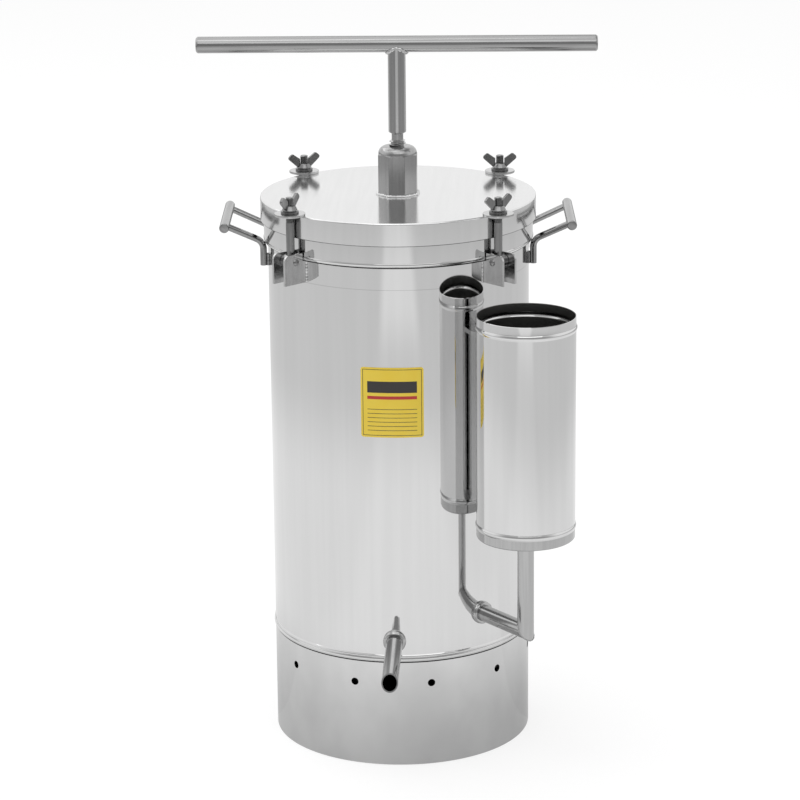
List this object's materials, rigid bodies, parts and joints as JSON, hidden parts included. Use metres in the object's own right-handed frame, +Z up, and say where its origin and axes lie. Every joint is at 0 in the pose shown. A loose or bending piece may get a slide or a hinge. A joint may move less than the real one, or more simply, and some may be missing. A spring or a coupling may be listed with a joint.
{
  "type": "steam wax melter with press",
  "caption": "Tall round steel steam wax melter on a vented skirt, with a clamped lid, T-handled screw press, side filler cup, sloping drain spout and wire handles.",
  "frame": {"origin": "middle of the skirt's foot, on the floor and on the vessel's axis", "axes": "+Z up along the vessel's axis, -Y towards the drain spout, +X to the right of the spout"},
  "size_m": [0.4822, 0.4331, 0.873],
  "materials": {
    "polished_shell": "mirror polished",
    "polished_lid": "polished",
    "polished_skirt": "mirror polished",
    "satin_steel": "satin",
    "pipe_steel": "brushed",
    "handle_steel": "satin",
    "press_steel": "turned",
    "clamp_steel": "dull zinc",
    "disc_steel": "satin",
    "dark_washer": "dark",
    "gasket_rubber": "matte",
    "washer_bronze": "turned",
    "label_film": "gloss film"
  },
  "bodies": {
    "boiler": {"outer_shell": "polished_shell", "base_skirt": "polished_skirt", "skirt_foot": "satin_steel", "skirt_ledge": "satin_steel", "boiler_floor": "satin_steel", "rim_collar": "polished_shell", "rim_flange": "satin_steel", "inner_wall": "satin_steel", "inner_floor": "satin_steel", "basket_stand": "satin_steel", "basket_floor": "satin_steel", "basket_wall": "satin_steel", "spout_tube": "pipe_steel", "spout_collar": "polished_shell", "filler_cup": "polished_shell", "filler_cup_base": "pipe_steel", "filler_riser": "pipe_steel", "filler_feed": "pipe_steel", "filler_collar": "polished_shell", "filler_stay": "pipe_steel", "label_plate": "label_film", "handle_grip_left": "handle_steel", "handle_grip_right": "handle_steel", "handle_wires_left": "handle_steel", "handle_wires_right": "handle_steel", "clamp_brackets": "clamp_steel", "clamp_pins": "clamp_steel"},
    "lid": {"lid": "polished_lid", "lid_gasket": "gasket_rubber", "press_nut": "press_steel"},
    "press_plate": {"press_plate": "satin_steel", "plate_hub": "satin_steel", "thrust_washer": "washer_bronze"},
    "press_screw": {"press_screw": "press_steel", "handle_stem": "press_steel", "handle_bar": "press_steel", "retaining_washer": "satin_steel", "retaining_bolt": "satin_steel"},
    "bolt_front_left": {"swing_bolt_front_left": "clamp_steel"},
    "disc_front_left": {"clamp_disc_front_left": "disc_steel", "nut_washer_front_left": "dark_washer"},
    "nut_front_left": {"wing_nut_front_left": "clamp_steel"},
    "bolt_front_right": {"swing_bolt_front_right": "clamp_steel"},
    "disc_front_right": {"clamp_disc_front_right": "disc_steel", "nut_washer_front_right": "dark_washer"},
    "nut_front_right": {"wing_nut_front_right": "clamp_steel"},
    "bolt_back_right": {"swing_bolt_back_right": "clamp_steel"},
    "disc_back_right": {"clamp_disc_back_right": "disc_steel", "nut_washer_back_right": "dark_washer"},
    "nut_back_right": {"wing_nut_back_right": "clamp_steel"},
    "bolt_back_left": {"swing_bolt_back_left": "clamp_steel"},
    "disc_back_left": {"clamp_disc_back_left": "disc_steel", "nut_washer_back_left": "dark_washer"},
    "nut_back_left": {"wing_nut_back_left": "clamp_steel"}
  },
  "joints": [
    {"name": "lid_lift", "type": "slide", "parent": "boiler", "child": "lid", "axis": [0, 0, 1], "range_m": [0, 0.42]},
    {"name": "press_feed", "type": "slide", "parent": "lid", "child": "press_plate", "axis": [0, 0, 1], "range_m": [-0.0161, 0.2801]},
    {"name": "screw_turn", "type": "hinge", "parent": "press_plate", "child": "press_screw", "pos_m": [0, 0, 0.7], "axis": [0, 0, 1], "range_deg": [-1440, 25200]},
    {"name": "swing_front_left", "type": "hinge", "parent": "boiler", "child": "bolt_front_left", "pos_m": [-0.12157, -0.12588, 0.625], "axis": [0.7193, -0.6947, 0], "range_deg": [0, 150]},
    {"name": "nut_travel_front_left", "type": "slide", "parent": "bolt_front_left", "child": "disc_front_left", "axis": [0, 0, 1], "range_m": [0, 0.00625]},
    {"name": "nut_turn_front_left", "type": "hinge", "parent": "disc_front_left", "child": "nut_front_left", "pos_m": [-0.12052, -0.12481, 0.69], "axis": [0, 0, 1], "range_deg": [-12, 1860]},
    {"name": "swing_front_right", "type": "hinge", "parent": "boiler", "child": "bolt_front_right", "pos_m": [0.12588, -0.12157, 0.625], "axis": [0.6947, 0.7193, 0], "range_deg": [0, 105]},
    {"name": "nut_travel_front_right", "type": "slide", "parent": "bolt_front_right", "child": "disc_front_right", "axis": [0, 0, 1], "range_m": [0, 0.00625]},
    {"name": "nut_turn_front_right", "type": "hinge", "parent": "disc_front_right", "child": "nut_front_right", "pos_m": [0.12481, -0.12052, 0.69], "axis": [0, 0, 1], "range_deg": [-12, 1860]},
    {"name": "swing_back_right", "type": "hinge", "parent": "boiler", "child": "bolt_back_right", "pos_m": [0.12157, 0.12588, 0.625], "axis": [-0.7193, 0.6947, 0], "range_deg": [0, 150]},
    {"name": "nut_travel_back_right", "type": "slide", "parent": "bolt_back_right", "child": "disc_back_right", "axis": [0, 0, 1], "range_m": [0, 0.00625]},
    {"name": "nut_turn_back_right", "type": "hinge", "parent": "disc_back_right", "child": "nut_back_right", "pos_m": [0.12052, 0.12481, 0.69], "axis": [0, 0, 1], "range_deg": [-12, 1860]},
    {"name": "swing_back_left", "type": "hinge", "parent": "boiler", "child": "bolt_back_left", "pos_m": [-0.12588, 0.12157, 0.625], "axis": [-0.6947, -0.7193, 0], "range_deg": [0, 150]},
    {"name": "nut_travel_back_left", "type": "slide", "parent": "bolt_back_left", "child": "disc_back_left", "axis": [0, 0, 1], "range_m": [0, 0.00625]},
    {"name": "nut_turn_back_left", "type": "hinge", "parent": "disc_back_left", "child": "nut_back_left", "pos_m": [-0.12481, 0.12052, 0.69], "axis": [0, 0, 1], "range_deg": [-12, 1860]}
  ],
  "couplings": [
    {"joint": "press_feed", "follows": "screw_turn", "m_per_rad": 0.00063662},
    {"joint": "nut_turn_front_left", "follows": "nut_travel_front_left", "rad_per_m": 5026.5},
    {"joint": "nut_turn_front_right", "follows": "nut_travel_front_right", "rad_per_m": 5026.5},
    {"joint": "nut_turn_back_right", "follows": "nut_travel_back_right", "rad_per_m": 5026.5},
    {"joint": "nut_turn_back_left", "follows": "nut_travel_back_left", "rad_per_m": 5026.5}
  ]
}
